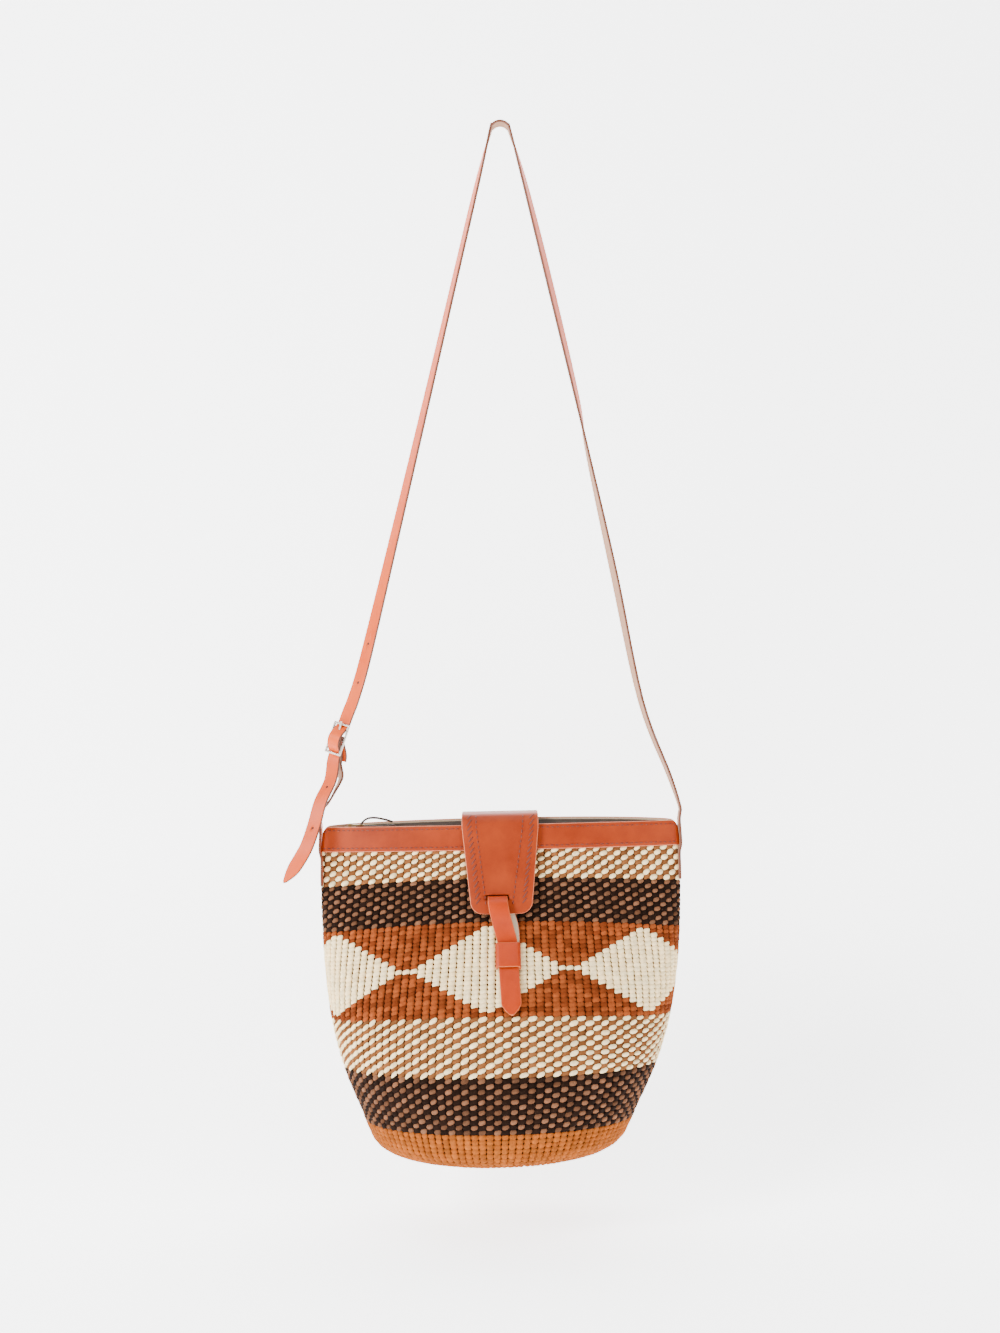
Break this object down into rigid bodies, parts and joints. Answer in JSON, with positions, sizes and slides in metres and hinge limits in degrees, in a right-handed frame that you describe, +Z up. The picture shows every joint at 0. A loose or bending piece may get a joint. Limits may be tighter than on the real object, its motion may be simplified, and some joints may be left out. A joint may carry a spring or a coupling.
{
  "type": "crossbody bag",
  "caption": "Woven bucket bag with leather rim, zip top, slotted flap with tuck strap, and a long buckled shoulder strap, shown hanging.",
  "frame": {"origin": "inside of the shoulder strap's bend, where it lies on a peg", "axes": "+X to the right as seen from the front, -Y is the front with the flap, +Z up; the bag hangs straight below the origin"},
  "size_m": [0.3548, 0.19, 0.919],
  "materials": {
    "woven_sisal": "twined sisal in bands of cream, tan, brown and rust",
    "cotton_lining": "plain cotton",
    "zip_tape": "woven tape",
    "zip_teeth": "nylon coil",
    "zip_metal": "nickel, lightly worn",
    "trim_leather": "vegetable-tanned cognac, satin",
    "strap_leather": "vegetable-tanned, pale, satin",
    "buckle_metal": "nickel wire, lightly worn"
  },
  "bodies": {
    "strap": {"shoulder_strap": "strap_leather", "buckle_chape": "strap_leather", "buckle_frame": "buckle_metal"},
    "bag": {"woven_body": "woven_sisal", "lining": "cotton_lining", "rim_band_front": "trim_leather", "rim_band_back": "trim_leather", "zip_tape_front": "zip_tape", "zip_tape_back": "zip_tape", "zip_teeth_front": "zip_teeth", "zip_teeth_back": "zip_teeth", "zip_stop_left": "zip_metal", "zip_stop_right": "zip_metal", "flap_root": "trim_leather", "closure_strap": "trim_leather", "closure_keeper": "trim_leather", "strap_end": "strap_leather", "chape_end": "strap_leather"},
    "flap": {"flap": "trim_leather"},
    "slider": {"zip_slider": "zip_metal"},
    "pull": {"zip_pull_tab": "zip_metal", "zip_pull_thong": "trim_leather"},
    "prong": {"buckle_prong": "buckle_metal"}
  },
  "joints": [
    {"name": "bag_swing", "type": "hinge", "parent": "strap", "child": "bag", "pos_m": [-0.00013, 0, -0.627], "axis": [0.9998, 0, 0.0209], "range_deg": [-30, 30]},
    {"name": "flap_lift", "type": "hinge", "parent": "bag", "child": "flap", "pos_m": [-0.00011, 0.0204, -0.628], "axis": [-0.9998, 0, -0.0209], "range_deg": [0, 120], "deforming": ["closure_strap"]},
    {"name": "zip_slide", "type": "slide", "parent": "bag", "child": "slider", "axis": [0.9998, 0, 0.0209], "range_m": [0, 0.235], "deforming": ["zip_tape_front", "zip_tape_back", "zip_teeth_front", "zip_teeth_back"]},
    {"name": "zip_pull_swing", "type": "hinge", "parent": "slider", "child": "pull", "pos_m": [-0.133, 0, -0.63449], "axis": [0, -1, 0], "range_deg": [0, 90]},
    {"name": "prong_lift", "type": "hinge", "parent": "strap", "child": "prong", "pos_m": [-0.1447, 0, -0.5578], "axis": [0.8397, -0.4695, -0.2728], "range_deg": [0, 8]}
  ]
}
